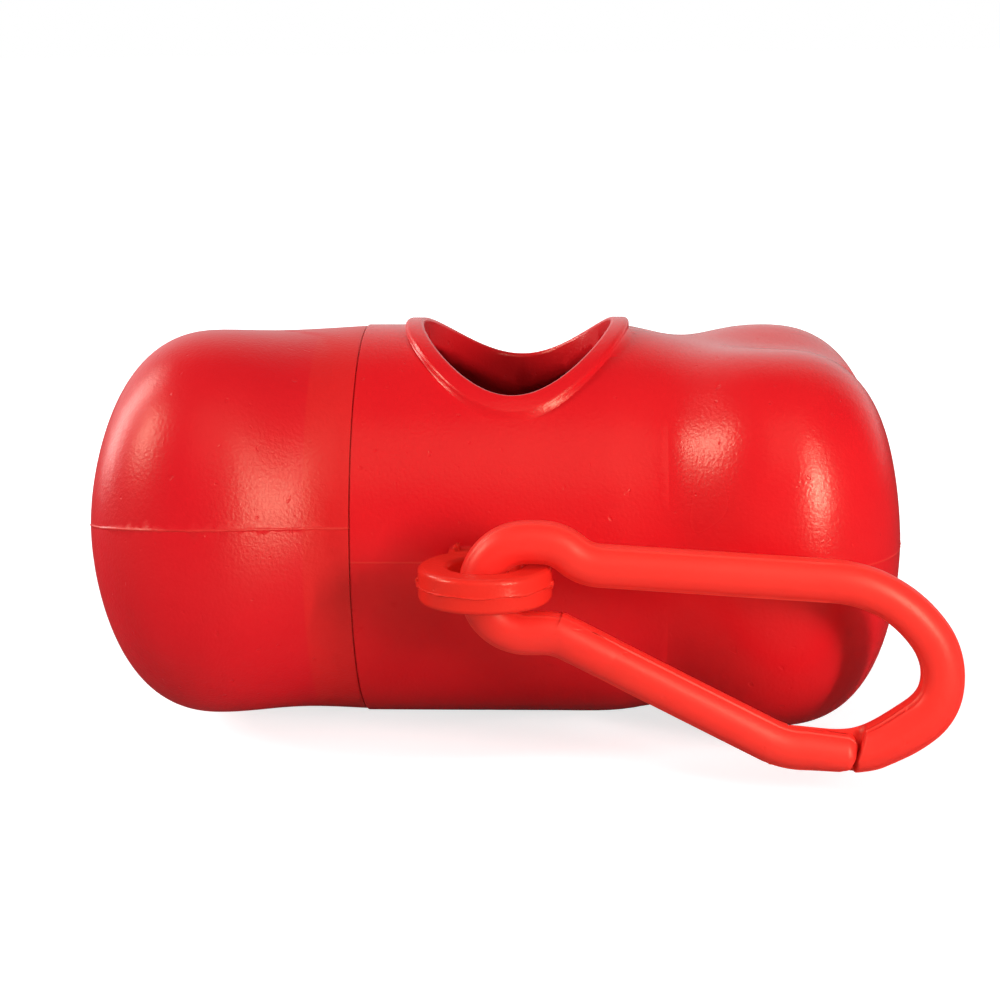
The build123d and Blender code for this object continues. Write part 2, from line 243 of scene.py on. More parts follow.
# ------------------------------------------------------------------ finishes
class MaterialBuilder:
    """Starts one material and keeps the helpers for wiring it."""

    def __init__(self, name: str) -> None:
        """Make an empty node material with a Principled shader.

        Args:
            name: The material's name.
        """
        self.material = bpy.data.materials.new(name)
        self.material.use_nodes = True
        self.nodes = self.material.node_tree.nodes
        self.links = self.material.node_tree.links
        self.shader = self.nodes["Principled BSDF"]

    def object_place(self, middle: Vector, turns: tuple[float, float, float]) -> Socket:
        """Read the place on the piece about a point, turned.

        Args:
            middle: The point in the part's frame that becomes 0.
            turns: Turns about X, Y and Z that follow.

        Returns:
            The mapped coordinates.
        """
        coordinates = self.nodes.new("ShaderNodeTexCoord")
        centred = self.nodes.new("ShaderNodeMapping")
        centred.inputs["Location"].default_value = -middle
        turned = self.nodes.new("ShaderNodeMapping")
        turned.inputs["Rotation"].default_value = turns
        self.links.new(coordinates.outputs["Object"], centred.inputs["Vector"])
        self.links.new(centred.outputs["Vector"], turned.inputs["Vector"])
        return turned.outputs["Vector"]

    def effect(self, tree: NodeTree, place: Socket, **values: float) -> bpy.types.Node:
        """Place a shared effect.

        Args:
            tree: The effect's group.
            place: The coordinates it reads.
            values: Its own settings, with underscores for spaces.

        Returns:
            The group's node.
        """
        node = self.nodes.new("ShaderNodeGroup")
        node.node_tree = tree
        self.links.new(place, node.inputs["Place"])
        for name, value in values.items():
            node.inputs[name.replace("_", " ")].default_value = value
        return node

    def blend(self, share: Socket, first: Colour | Socket, second: Colour) -> Socket:
        """Mix two colours by a mask.

        Args:
            share: 0 for the first, 1 for the second.
            first: A colour, or a socket that has one.
            second: The other colour.

        Returns:
            The mixed colour.
        """
        node = self.nodes.new("ShaderNodeMix")
        node.data_type = "RGBA"
        self.links.new(share, node.inputs["Factor"])
        if isinstance(first, bpy.types.NodeSocket):
            self.links.new(first, node.inputs["A"])
        else:
            node.inputs[6].default_value = (*first, 1.0)
        node.inputs[7].default_value = (*second, 1.0)
        return node.outputs[2]

    def scaled(self, share: Socket, low: float, high: float) -> Socket:
        """Spread a 0 to 1 mask over a range.

        Args:
            share: The mask.
            low: The result at 0.
            high: The result at 1.

        Returns:
            The spread value.
        """
        node = self.nodes.new("ShaderNodeMapRange")
        node.inputs["To Min"].default_value = low
        node.inputs["To Max"].default_value = high
        self.links.new(share, node.inputs["Value"])
        return node.outputs["Result"]

    def bump(self, height: Socket, distance: float, under: Socket | None = None) -> Socket:
        """Lay a height over the normal.

        Args:
            height: The height mask.
            distance: Metres that a height of 1 stands for.
            under: A normal that this one is laid over.

        Returns:
            The new normal.
        """
        node = self.nodes.new("ShaderNodeBump")
        node.inputs["Distance"].default_value = distance
        self.links.new(height, node.inputs["Height"])
        if under is not None:
            self.links.new(under, node.inputs["Normal"])
        return node.outputs["Normal"]


@dataclass(frozen=True)
class PaintedLightZone:
    """A part of a moulding whose colour is changed a little to paint light and sheen on it, past a plane
    or within a ball.
    """

    measure: str
    start: float
    end: float
    colour: Colour
    middle: Vector | None = None

    def colour_over(self, work: MaterialBuilder, place: Socket, under: Socket) -> Socket:
        """Lay the zone's painted light colour over another.

        Args:
            work: The material's builder.
            place: The coordinates that the plane is counted in.
            under: The colour outside the zone.

        Returns:
            The colour with the zone.
        """
        if self.middle is None:
            parts = work.nodes.new("ShaderNodeSeparateXYZ")
            work.links.new(place, parts.inputs[0])
            reach = parts.outputs[self.measure]
        else:
            away = work.nodes.new("ShaderNodeVectorMath")
            away.operation = self.measure
            away.inputs[1].default_value = self.middle
            work.links.new(place, away.inputs[0])
            reach = away.outputs["Value"]
        fade = work.nodes.new("ShaderNodeMapRange")
        fade.interpolation_type = "SMOOTHSTEP"
        fade.inputs["From Min"].default_value = self.start
        fade.inputs["From Max"].default_value = self.end
        work.links.new(reach, fade.inputs["Value"])
        return work.blend(fade.outputs["Result"], under, self.colour)


@dataclass(frozen=True)
class MouldedPlastic:
    """A glossy moulded plastic with grain, a mould seam partly painted as a highlight, faint wear and
    zones of painted light.
    """

    name: str
    colour: Colour
    deep_colour: Colour
    rubbed_and_seam_highlight_colour: Colour
    roughness: tuple[float, float]
    grain_depth: float
    grain_fineness: float
    seam: SeamPlane
    seam_middle: Vector
    seam_height: float
    specular: float = 0.35
    sheen: Colour = (1.0, 0.82, 0.55)
    glow: float = 0.0
    painted_light_zones: tuple[PaintedLightZone, ...] = ()

    def build(self, effects: EffectGroups) -> bpy.types.Material:
        """Wire the material.

        Args:
            effects: The shared effect groups.

        Returns:
            The finished material.
        """
        work = MaterialBuilder(self.name)
        place = work.object_place(self.seam_middle, (self.seam.value, 0.0, 0.0))
        grain = work.effect(effects.grain, place, Fineness=self.grain_fineness)
        seam = work.effect(effects.seam, place, Half_Width=0.16 * MM)
        marks = work.effect(effects.handling, place)
        colour = work.blend(grain.outputs["Blotch"], self.deep_colour, self.colour)
        # Painted light: the zones paint the lug ring brighter and the cap's collar pinker, for the light
        # and sheen on them.
        for painted_zone in self.painted_light_zones:
            colour = painted_zone.colour_over(work, place, colour)
        share = work.scaled(marks.outputs["Rub"], 0.0, 0.12)
        colour = work.blend(share, colour, self.rubbed_and_seam_highlight_colour)
        # The seam line is painted lighter in the rubbed red: partly a painted highlight along its raised
        # crest, partly a slight real colour change at the flash.
        share = work.scaled(seam.outputs["Line"], 0.0, 0.35)
        colour = work.blend(share, colour, self.rubbed_and_seam_highlight_colour)
        work.links.new(colour, work.shader.inputs["Base Color"])
        rough = work.scaled(marks.outputs["Rub"], *self.roughness)
        work.links.new(rough, work.shader.inputs["Roughness"])
        normal = work.bump(grain.outputs["Height"], self.grain_depth)
        normal = work.bump(seam.outputs["Line"], self.seam_height, normal)
        normal = work.bump(marks.outputs["Pit"], -0.03 * MM, normal)
        work.links.new(normal, work.shader.inputs["Normal"])
        work.shader.inputs["Specular IOR Level"].default_value = self.specular
        work.shader.inputs["Specular Tint"].default_value = (*self.sheen, 1.0)
        work.shader.inputs["Subsurface Weight"].default_value = self.glow
        work.shader.inputs["Subsurface Radius"].default_value = (1.0, 0.2, 0.1)
        work.shader.inputs["Subsurface Scale"].default_value = 0.8 * MM
        return work.material


@dataclass(frozen=True)
class WoundFilm:
    """Thin dull film, wound in many turns."""

    name: str
    colour: Colour
    crease_colour: Colour
    layer_pitch: float

    def build(self, effects: EffectGroups, middle: Vector) -> bpy.types.Material:
        """Wire the material.

        Args:
            effects: The shared effect groups.
            middle: A point on the roll's axis.

        Returns:
            The finished material.
        """
        work = MaterialBuilder(self.name)
        place = work.object_place(middle, (0.0, 0.0, 0.0))
        grain = work.effect(effects.grain, place, Fineness=900.0)
        rings = work.nodes.new("ShaderNodeTexWave")
        rings.wave_type = "RINGS"
        rings.rings_direction = "X"
        rings.inputs["Scale"].default_value = 0.314 / self.layer_pitch
        rings.inputs["Distortion"].default_value = 1.2
        work.links.new(place, rings.inputs["Vector"])
        colour = work.blend(grain.outputs["Blotch"], self.colour, self.crease_colour)
        work.links.new(colour, work.shader.inputs["Base Color"])
        rough = work.scaled(grain.outputs["Blotch"], 0.38, 0.6)
        work.links.new(rough, work.shader.inputs["Roughness"])
        normal = work.bump(rings.outputs["Fac"], 0.05 * MM)
        normal = work.bump(grain.outputs["Height"], 0.06 * MM, normal)
        work.links.new(normal, work.shader.inputs["Normal"])
        work.shader.inputs["Specular IOR Level"].default_value = 0.35
        return work.material


@dataclass(frozen=True)
class CoreBoard:
    """Plain spiral-wound board of the roll's core."""

    name: str
    colour: Colour
    fibre_colour: Colour

    def build(self, effects: EffectGroups, middle: Vector) -> bpy.types.Material:
        """Wire the material.

        Args:
            effects: The shared effect groups.
            middle: A point on the core's axis.

        Returns:
            The finished material.
        """
        work = MaterialBuilder(self.name)
        place = work.object_place(middle, (0.0, 0.0, 0.0))
        grain = work.effect(effects.grain, place, Fineness=2600.0)
        colour = work.blend(grain.outputs["Height"], self.fibre_colour, self.colour)
        work.links.new(colour, work.shader.inputs["Base Color"])
        work.shader.inputs["Roughness"].default_value = 0.85
        normal = work.bump(grain.outputs["Height"], 0.05 * MM)
        work.links.new(normal, work.shader.inputs["Normal"])
        return work.material


BARREL_RED: Colour = (0.74, 0.008, 0.013)
BARREL_DEEP_RED: Colour = (0.69, 0.004, 0.011)
CAP_RED: Colour = (0.71, 0.004, 0.013)
CAP_DEEP_RED: Colour = (0.66, 0.003, 0.011)
# Painted sheen: the cap's collar next to the joint is painted a paler, pinker red for the sheen on it.
CAP_BAND_PAINTED_SHEEN_RED: Colour = (0.69, 0.01, 0.013)
# Painted light: the lug ring is painted brighter than the barrel it is moulded with, for the front light
# on it and the glow through its thin plastic.
RING_PAINTED_LIGHT_RED: Colour = (0.82, 0.022, 0.013)
# Lighter red for rubbed wear, also laid on the mould seam, partly as a painted highlight.
RUBBED_AND_SEAM_HIGHLIGHT_RED: Colour = (0.84, 0.06, 0.04)
CLIP_RED: Colour = (0.95, 0.035, 0.022)
CLIP_DEEP_RED: Colour = (0.9, 0.02, 0.016)
# The clip's lighter red for rubbed wear and for its seam, which is partly a painted highlight.
CLIP_RUBBED_AND_SEAM_HIGHLIGHT_RED: Colour = (0.95, 0.1, 0.07)

BARREL_PLASTIC = MouldedPlastic(
    name="barrel_plastic",
    colour=BARREL_RED,
    deep_colour=BARREL_DEEP_RED,
    rubbed_and_seam_highlight_colour=RUBBED_AND_SEAM_HIGHLIGHT_RED,
    roughness=(0.22, 0.3),
    grain_depth=0.034 * MM,
    grain_fineness=3200.0,
    seam=SeamPlane.LEVEL,
    seam_middle=BARREL_MIDDLE,
    seam_height=0.02 * MM,
    # Painted light: within this ball round the lug ring, the red is painted brighter.
    painted_light_zones=(PaintedLightZone("DISTANCE", 9.0 * MM, 6.6 * MM, RING_PAINTED_LIGHT_RED, Vector((0.0, -28.4 * MM, 0.0))),),
)
CAP_PLASTIC = MouldedPlastic(
    name="cap_plastic",
    colour=CAP_RED,
    deep_colour=CAP_DEEP_RED,
    rubbed_and_seam_highlight_colour=RUBBED_AND_SEAM_HIGHLIGHT_RED,
    roughness=(0.3, 0.37),
    grain_depth=0.034 * MM,
    grain_fineness=3200.0,
    seam=SeamPlane.CAP,
    seam_middle=BARREL_MIDDLE,
    seam_height=0.03 * MM,
    # Painted sheen: past this plane, the cap's collar takes the pinker band red.
    painted_light_zones=(PaintedLightZone("X", -17.95 * MM, -17.7 * MM, CAP_BAND_PAINTED_SHEEN_RED),),
)
CLIP_PLASTIC = MouldedPlastic(
    name="clip_plastic",
    colour=CLIP_RED,
    deep_colour=CLIP_DEEP_RED,
    rubbed_and_seam_highlight_colour=CLIP_RUBBED_AND_SEAM_HIGHLIGHT_RED,
    roughness=(0.34, 0.46),
    grain_depth=0.02 * MM,
    grain_fineness=1900.0,
    seam=SeamPlane.UPRIGHT,
    seam_middle=Vector((0.0, CLIP_SEAM_Y, 0.0)),
    seam_height=0.03 * MM,
    glow=0.12,
)
BAG_FILM = WoundFilm(
    name="bag_film",
    colour=(0.012, 0.012, 0.014),
    crease_colour=(0.03, 0.03, 0.034),
    layer_pitch=0.28 * MM,
)
CORE_BOARD = CoreBoard(
    name="core_board",
    colour=(0.42, 0.3, 0.18),
    fibre_colour=(0.3, 0.2, 0.11),
)


# ------------------------------------------------------------------ mesh helpers
def new_piece(name: str, mesh: bmesh.types.BMesh, smooth_angle: float = 35.0) -> bpy.types.Object:
    """Turn a bmesh into a shaded object in the scene.

    Args:
        name: The piece's name.
        mesh: The finished bmesh, freed here.
        smooth_angle: Edges that turn more than this, in degrees, stay sharp.

    Returns:
        The new object.
    """
    bmesh.ops.recalc_face_normals(mesh, faces=mesh.faces)
    data = bpy.data.meshes.new(name)
    mesh.to_mesh(data)
    mesh.free()
    data.shade_smooth()
    data.set_sharp_from_angle(angle=math.radians(smooth_angle))
    piece = bpy.data.objects.new(name, data)
    bpy.context.scene.collection.objects.link(piece)
    return piece


def joined_mesh(node: bpy.types.Object) -> bmesh.types.BMesh:
    """Copy a CAD node's mesh with its loose triangles joined.

    Args:
        node: The CAD node.

    Returns:
        The copy.
    """
    mesh = bmesh.new()
    mesh.from_mesh(node.data)
    bmesh.ops.remove_doubles(mesh, verts=mesh.verts, dist=0.0005 * MM)
    return mesh


def even_shading(piece: bpy.types.Object) -> bpy.types.Object:
    """Let a piece's large faces lead its shading.

    Args:
        piece: The piece.

    Returns:
        The same piece.
    """
    weighted = piece.modifiers.new("even_shading", "WEIGHTED_NORMAL")
    weighted.mode = "FACE_AREA"
    weighted.keep_sharp = True
    return piece


def round_shading(piece: bpy.types.Object, radius: float) -> bpy.types.Object:
    """Shade a moulding's plain round part as the true cylinder that it is.

    Args:
        piece: The moulding.
        radius: The round part's outside radius about the barrel's axis.

    Returns:
        The same piece.
    """
    data = piece.data
    normals = [corner.vector.copy() for corner in data.corner_normals]
    for face in data.polygons:
        for index in face.loop_indices:
            out = data.vertices[data.loops[index].vertex_index].co - BARREL_MIDDLE
            out.x = 0.0
            near = abs(out.length - radius) < 0.06 * MM
            if near and face.normal.dot(out.normalized()) > 0.97:
                normals[index] = out.normalized()
    data.normals_split_custom_set(normals)
    return piece


@dataclass(frozen=True)
class PartingLine:
    """The fine raised line where a mould's halves met."""

    plane: SeamPlane
    middle: Vector
    height: float
    half_width: float

    def raise_on(self, mesh: bmesh.types.BMesh) -> None:
        """Cut a mesh along the line and lift the line's crest.

        Args:
            mesh: The moulding's joined mesh.
        """
        across = Vector((0.0, math.sin(self.plane.value), math.cos(self.plane.value)))
        for shift in (-self.half_width, 0.0, self.half_width):
            geometry = [*mesh.verts, *mesh.edges, *mesh.faces]
            bmesh.ops.bisect_plane(
                mesh, geom=geometry, dist=1e-8, plane_co=self.middle + across * shift,
                plane_no=across,
            )
        mesh.normal_update()
        for vert in mesh.verts:
            if abs((vert.co - self.middle).dot(across)) < 1e-7:
                vert.co += vert.normal * self.height


def small_nib(name: str, place: Vector, size: Vector, rough: float) -> bpy.types.Object:
    """Make one torn-off nib of flash, half sunk in what carries it.

    Args:
        name: The nib's name.
        place: Its middle.
        size: Its half lengths.
        rough: How far its surface wanders, as a share of its size.

    Returns:
        The nib.
    """
    mesh = bmesh.new()
    bmesh.ops.create_icosphere(mesh, subdivisions=3, radius=1.0)
    for vert in mesh.verts:
        vert.co *= 1.0 + rough * noise.noise(vert.co * 1.7)
    bmesh.ops.scale(mesh, vec=size, verts=mesh.verts)
    bmesh.ops.translate(mesh, vec=place, verts=mesh.verts)
    return new_piece(name, mesh, 60.0)


def dress(
    piece: bpy.types.Object, material: bpy.types.Material, body: str
) -> None:
    """Give a piece its material and body, and log the body it rides on.

    Args:
        piece: The finished piece.
        material: Its material.
        body: The CAD body it rides on.
    """
    piece.data.materials.clear()
    piece.data.materials.append(material)
    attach(piece, body)
    LOG.info("%s rides on %s", piece.name, body)


# ------------------------------------------------------------------ sub-assemblies
@dataclass
class ScrewThread:
    """One moulded two-start thread about the barrel's axis."""

    name: str
    root_radius: float
    crest_radius: float
    start_x: float
    end_x: float
    lead: float = 5.0 * MM
    root_width: float = 1.3 * MM
    crest_width: float = 0.6 * MM
    starts: int = 2
    steps_per_turn: int = 72
    fade_steps: int = 6

    def build(self) -> bpy.types.Object:
        """Spin each start's section along its helix.

        Returns:
            The thread as one piece.
        """
        mesh = bmesh.new()
        for start in range(self.starts):
            self.add_start(mesh, 2.0 * math.pi * start / self.starts)
        return new_piece(self.name, mesh, 50.0)

    def add_start(self, mesh: bmesh.types.BMesh, first_turn: float) -> None:
        """Add one start of the thread.

        Args:
            mesh: The bmesh that takes it.
            first_turn: Where round the axis it begins, in radians.
        """
        run = abs(self.end_x - self.start_x) - self.root_width
        steps = max(2, round(run / self.lead * self.steps_per_turn))
        begin = min(self.start_x, self.end_x) + self.root_width / 2.0
        half_root, half_crest = self.root_width / 2.0, self.crest_width / 2.0
        corners = (
            (begin - half_root, self.root_radius),
            (begin - half_crest, self.crest_radius),
            (begin + half_crest, self.crest_radius),
            (begin + half_root, self.root_radius),
        )
        section = [mesh.verts.new(Vector((x, 0.0, z)) + self.on_axis()) for x, z in corners]
        face = mesh.faces.new(section)
        turn = Matrix.Rotation(first_turn, 3, "X")
        bmesh.ops.rotate(mesh, verts=section, cent=BARREL_MIDDLE, matrix=turn)
        known = set(mesh.verts) - set(section)
        geometry = [face, *face.edges, *face.verts]
        angle = -2.0 * math.pi * run / self.lead
        along = Vector((run / steps, 0.0, 0.0))
        bmesh.ops.spin(
            mesh, geom=geometry, cent=BARREL_MIDDLE, axis=(1.0, 0.0, 0.0),
            dvec=along, angle=angle, steps=steps, use_duplicate=False,
        )
        self.fade_ends(mesh, [v for v in mesh.verts if v not in known], begin, run)

    def on_axis(self) -> Vector:
        """Where the axis is, with no shift along it."""
        return Vector((0.0, BARREL_MIDDLE.y, BARREL_MIDDLE.z))

    def fade_ends(
        self, mesh: bmesh.types.BMesh, verts: list[bmesh.types.BMVert], begin: float, run: float
    ) -> None:
        """Sink the thread's two ends into the wall.

        Args:
            mesh: The bmesh that holds the thread; not used.
            verts: This start's vertices.
            begin: Where the middle of its section starts along X.
            run: How far that middle travels.
        """
        fade = run * self.fade_steps / self.steps_per_turn
        sink = self.root_radius - self.crest_radius
        for vert in verts:
            travelled = min(max(vert.co.x - begin, 0.0), run)
            left = min(travelled, run - travelled) / fade
            if left < 1.0:
                out = vert.co - Vector((vert.co.x, BARREL_MIDDLE.y, BARREL_MIDDLE.z))
                out.normalize()
                vert.co += out * sink * (1.0 - left)


@dataclass
class RingFlash:
    """The torn line of flash round the lug ring's rim."""

    radius: float = 6.2 * MM
    crest: float = 0.16 * MM
    half_width: float = 0.16 * MM
    sunk: float = 0.2 * MM
    first_turn: float = math.radians(172.0)
    sweep: float = math.radians(196.0)
    steps: int = 150
    wander: float = 0.14 * MM

    def build(self) -> bpy.types.Object:
        """Spin the line's section round the ring's front and tear it.

        Returns:
            The finished piece.
        """
        mesh = bmesh.new()
        inside = self.radius - self.sunk
        corners = ((inside, -self.half_width), (self.radius + self.crest, 0.0), (inside, self.half_width))
        section = [mesh.verts.new(RING_MIDDLE + Vector((r, 0.0, z))) for r, z in corners]
        face = mesh.faces.new(section)
        turn = Matrix.Rotation(self.first_turn, 3, "Z")
        bmesh.ops.rotate(mesh, verts=section, cent=RING_MIDDLE, matrix=turn)
        bmesh.ops.spin(
            mesh, geom=[face, *face.edges, *face.verts], cent=RING_MIDDLE, axis=(0.0, 0.0, 1.0),
            angle=self.sweep, steps=self.steps, use_duplicate=False,
        )
        for vert in mesh.verts:
            self.tear(vert)
        return new_piece("ring_flash", mesh, 60.0)

    def tear(self, vert: bmesh.types.BMVert) -> None:
        """Move one vertex of the line out, in, up or down.

        Args:
            vert: The vertex.
        """
        out = vert.co - RING_MIDDLE
        out.z = 0.0
        reach = out.length
        out.normalize()
        along = math.atan2(out.y, out.x) * self.radius / MM
        vert.co.z += self.wander * noise.noise(Vector((along * 0.45, 3.0, 0.0)))
        if reach > self.radius:
            torn = noise.noise(Vector((along * 1.6, 0.0, 7.0)))
            vert.co += out * self.crest * 0.9 * torn


@dataclass
class JointShoulder:
    """The neck's root, a hair proud of the barrel's end, that the cap seats against."""

    face_x: float = -13.3 * MM
    proud: float = 0.13 * MM
    outside: float = 19.82 * MM
    inside: float = 17.9 * MM
    steps: int = 160

    def build(self) -> bpy.types.Object:
        """Spin the shoulder's section round the barrel's axis.

        Returns:
            The finished piece.
        """
        mesh = bmesh.new()
        near, far = self.face_x - self.proud, self.face_x + 0.1 * MM
        corners = ((near, self.inside), (near, self.outside), (far, self.outside), (far, self.inside))
        verts = [mesh.verts.new(BARREL_MIDDLE + Vector((x, 0.0, z))) for x, z in corners]
        edges = [mesh.edges.new((a, b)) for a, b in zip(verts, verts[1:] + verts[:1])]
        bmesh.ops.spin(
            mesh, geom=[*verts, *edges], cent=BARREL_MIDDLE, axis=(1.0, 0.0, 0.0),
            angle=2.0 * math.pi, steps=self.steps, use_merge=True, use_duplicate=False,
        )
        bmesh.ops.remove_doubles(mesh, verts=mesh.verts, dist=0.0005 * MM)
        return new_piece("joint_shoulder", mesh, 30.0)


@dataclass
class Barrel:
    """The main moulding with its neck, opening rim and lug ring."""

    thread: ScrewThread
    line: PartingLine
    flash: RingFlash
    root_nib: Vector = RING_MIDDLE + Vector((-2.9, 5.6, 1.6)) * MM
    tip_nib: Vector = BARREL_MIDDLE + Vector((39.95, -11.5, 0.0)) * MM
    ring_nibs: tuple[float, ...] = (math.radians(176.0), math.radians(352.0))

    def build(self, nodes: dict[str, bpy.types.Object], material: bpy.types.Material) -> None:
        """Make and dress the barrel's pieces.

        Args:
            nodes: The CAD nodes by name.
            material: The barrel's plastic.
        """
        mesh = joined_mesh(nodes["barrel"])
        self.line.raise_on(mesh)
        shell = round_shading(new_piece("barrel_shell", mesh, 32.0), 20.1 * MM)
        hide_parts("barrel")
        details = (self.thread.build(), self.flash.build(), JointShoulder().build())
        for piece in (shell, *details, *self.nibs()):
            dress(piece, material, "barrel")

    def nibs(self) -> list[bpy.types.Object]:
        """Make the nibs of flash at the ring's root, on its rim and at the barrel's tip.

        Returns:
            The nibs.
        """
        made = [
            small_nib("root_nib", self.root_nib, Vector((0.4, 0.5, 0.75)) * MM, 0.6),
            small_nib("tip_nib", self.tip_nib, Vector((0.22, 0.6, 0.3)) * MM, 0.4),
        ]
        for number, turn in enumerate(self.ring_nibs):
            out = Vector((math.cos(turn), math.sin(turn), 0.0))
            place = RING_MIDDLE + out * self.flash.radius
            made.append(small_nib(f"ring_nib_{number}", place, Vector((0.3, 0.4, 0.35)) * MM, 0.5))
        return made


@dataclass
class ScrewCap:
    """The knuckle cap that screws over the neck."""

    thread: ScrewThread
    line: PartingLine

    def build(self, nodes: dict[str, bpy.types.Object], material: bpy.types.Material) -> None:
        """Make and dress the cap's pieces.

        Args:
            nodes: The CAD nodes by name.
            material: The cap's plastic.
        """
        mesh = joined_mesh(nodes["screw_cap"])
        self.line.raise_on(mesh)
        cup = round_shading(new_piece("cap_shell", mesh, 32.0), 20.0 * MM)
        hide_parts("screw_cap")
        dress(cup, material, "screw_cap")
        dress(self.thread.build(), material, "screw_cap")


@dataclass
class SnapClip:
    """The moulded clip: hook with its C, and the springy gate."""

    line: PartingLine
    pivot: Vector = BARREL_MIDDLE + Vector((7.7, -28.1, -5.215)) * MM
    gate_fall: float = math.radians(27.5)
    sleeve_length: float = 6.6 * MM
    sleeve_start: float = -1.6 * MM
    sleeve_cuts: int = 11
    chin: Vector = BARREL_MIDDLE + Vector((38.6, -28.1, -12.6)) * MM
    chin_reach: float = 5.5 * MM
    chin_fill: float = 0.6 * MM
    tip: Vector = BARREL_MIDDLE + Vector((33.8, -28.1, -18.3)) * MM
    tip_push: tuple[float, ...] = (0.3 * MM, 0.5 * MM, 0.95 * MM, 1.0 * MM, 0.5 * MM)
    tip_drop: float = 0.5 * MM
    tip_lift: float = 0.3 * MM
    shoulder_back: float = 0.35 * MM

    def build(self, nodes: dict[str, bpy.types.Object], material: bpy.types.Material) -> None:
        """Make and dress the clip's pieces.

        Args:
            nodes: The CAD nodes by name.
            material: The clip's plastic.
        """
        for name in ("clip_hook", "clip_gate"):
            mesh = joined_mesh(nodes[name])
            self.line.raise_on(mesh)
            if name == "clip_hook":
                self.fill_chin(mesh)
            self.draw_out_tip(mesh, name == "clip_gate")
            rod = even_shading(new_piece(f"{name}_rod", mesh, 32.0))
            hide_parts(name)
            dress(rod, material, name)
        self.build_sleeve(material)

    def fill_chin(self, mesh: bmesh.types.BMesh) -> None:
        """Thicken the hook's lower inside, as the moulding is.

        Args:
            mesh: The hook's joined mesh.
        """
        inwards = Vector((-0.6, 0.0, 0.8))
        mesh.normal_update()
        for vert in mesh.verts:
            away = (vert.co - self.chin).length / self.chin_reach
            facing = vert.normal.dot(inwards)
            if away < 1.0 and facing > 0.0:
                share = (1.0 - away * away) ** 2 * facing
                vert.co += inwards * self.chin_fill * share

    def draw_out_tip(self, mesh: bmesh.types.BMesh, lowered: bool) -> None:
        """Draw the gate's fingertip out over the hook, and the hook's shoulder with it.

        Args:
            mesh: The joined mesh of the gate or the hook.
            lowered: Whether it is the gate, whose finger thins towards its tip.
        """
        for vert in mesh.verts:
            away = vert.co - self.tip
            if away.y > 0.1 * MM or away.x < -4.0 * MM or away.x > 5.0 * MM:
                continue
            if away.x < 1.0 * MM:
                share = min(1.0, (away.x / MM + 4.0) / 3.0)
            else:
                share = max(0.0, (5.0 - away.x / MM) / 4.0)
            share = share * share * (3.0 - 2.0 * share)
            height = max(-1.0, min(1.0, away.z / ROD_RADIUS))
            spot = min((height + 1.0) * 2.0, 3.999)
            low, part = int(spot), spot % 1.0
            push = self.tip_push[low] * (1.0 - part) + self.tip_push[low + 1] * part
            vert.co.x += push * share
            if not lowered:
                vert.co.x -= self.shoulder_back * share
            elif height > 0.0:
                vert.co.z -= self.tip_drop * share * height
            else:
                vert.co.z -= self.tip_lift * share**3 * height

    def build_sleeve(self, material: bpy.types.Material) -> None:
        """Close the cut at the gate's root, where the real clip is one moulding.

        Args:
            material: The clip's plastic.
        """
        mesh = bmesh.new()
        half = self.sleeve_length / 2.0
        bmesh.ops.create_cone(
            mesh, cap_ends=False, segments=48, radius1=ROD_RADIUS, radius2=ROD_RADIUS,
            depth=self.sleeve_length,
        )
        long_edges = [e for e in mesh.edges if abs(e.verts[0].co.z - e.verts[1].co.z) > half]
        bmesh.ops.subdivide_edges(mesh, edges=long_edges, cuts=self.sleeve_cuts)
        for vert in mesh.verts:
            end = abs(vert.co.z) / half
            swell = 0.022 * MM - 0.07 * MM * end**6
            vert.co.x *= 1.0 + swell / ROD_RADIUS
            vert.co.y *= 1.0 + swell / ROD_RADIUS
        along = Vector((math.cos(self.gate_fall), 0.0, -math.sin(self.gate_fall)))
        turn = along.to_track_quat("Z", "Y").to_matrix().to_4x4()
        middle = self.pivot + along * (self.sleeve_start + half)
        bmesh.ops.transform(mesh, matrix=Matrix.Translation(middle) @ turn, verts=mesh.verts)
        sleeve = new_piece("gate_root_sleeve", mesh, 60.0)
        sleeve.data.materials.append(material)
        end = self.pivot + along * 3.6 * MM
        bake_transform(sleeve)


